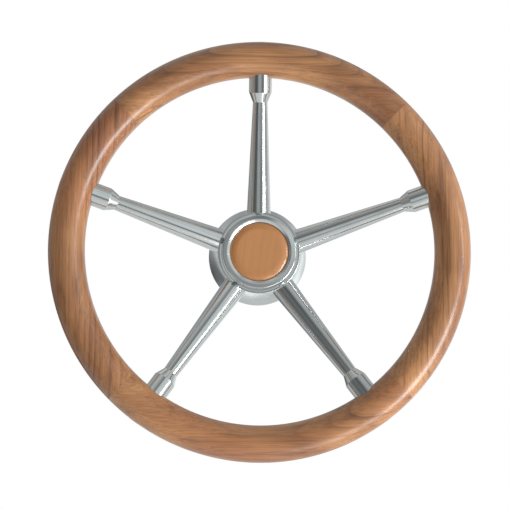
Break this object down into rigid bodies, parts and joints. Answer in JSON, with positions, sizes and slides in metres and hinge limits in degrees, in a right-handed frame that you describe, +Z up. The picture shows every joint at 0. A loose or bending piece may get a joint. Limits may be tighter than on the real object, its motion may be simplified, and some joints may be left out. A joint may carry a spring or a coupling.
{
  "type": "boat steering wheel",
  "caption": "Dished boat steering wheel with a round wooden rim, flared polished steel spokes, a tapered-bore hub and a screw cap with a wooden inlay.",
  "frame": {"origin": "middle of the hub's back face, on the wheel's axis, where the shaft's taper has its large end", "axes": "+Y along the wheel's axis, from the helmsman to the helm; +Z up through the top spoke; +X to the helmsman's right"},
  "size_m": [0.35, 0.085, 0.35],
  "materials": {
    "rim_wood": "varnished, straight-grained boards",
    "inlay_wood": "varnished disc, domed towards its edge",
    "bung_wood": "varnished end plugs, flush with the rim",
    "tongue_wood": "bare, glued in",
    "polished_steel": "mirror-polished stainless steel",
    "plain_steel": "turned stainless steel",
    "dark_steel": "dark machined steel",
    "gasket_rubber": "matt"
  },
  "bodies": {
    "root": {"rim_felloe_top": "rim_wood", "rim_felloe_right": "rim_wood", "rim_felloe_bottom": "rim_wood", "rim_felloe_left": "rim_wood", "rim_tongue_upper_right": "tongue_wood", "rim_tongue_lower_right": "tongue_wood", "rim_tongue_lower_left": "tongue_wood", "rim_tongue_upper_left": "tongue_wood", "rim_screws": "plain_steel", "rim_bungs": "bung_wood", "spoke_top": "polished_steel", "spoke_upper_right": "polished_steel", "spoke_lower_right": "polished_steel", "spoke_lower_left": "polished_steel", "spoke_upper_left": "polished_steel", "ferrule_top": "polished_steel", "ferrule_upper_right": "polished_steel", "ferrule_lower_right": "polished_steel", "ferrule_lower_left": "polished_steel", "ferrule_upper_left": "polished_steel", "hub_shell": "polished_steel", "shaft_boss": "plain_steel", "boss_screws": "plain_steel", "spoke_grub_screws": "dark_steel", "cap_gasket": "gasket_rubber"},
    "inlay": {"cap_inlay_disc": "inlay_wood", "cap_backing_plate": "plain_steel"},
    "bezel": {"cap_bezel": "polished_steel", "cap_snap_ring": "plain_steel"}
  },
  "joints": [
    {"name": "cap_lift", "type": "slide", "parent": "root", "child": "inlay", "axis": [0, -1, 0], "range_m": [0, 0.008]},
    {"name": "bezel_turn", "type": "hinge", "parent": "inlay", "child": "bezel", "pos_m": [0, -0.04, 0], "axis": [0, -1, 0], "range_deg": [0, 1440]}
  ],
  "couplings": [
    {"joint": "cap_lift", "follows": "bezel_turn", "m_per_rad": 0.0003183}
  ]
}
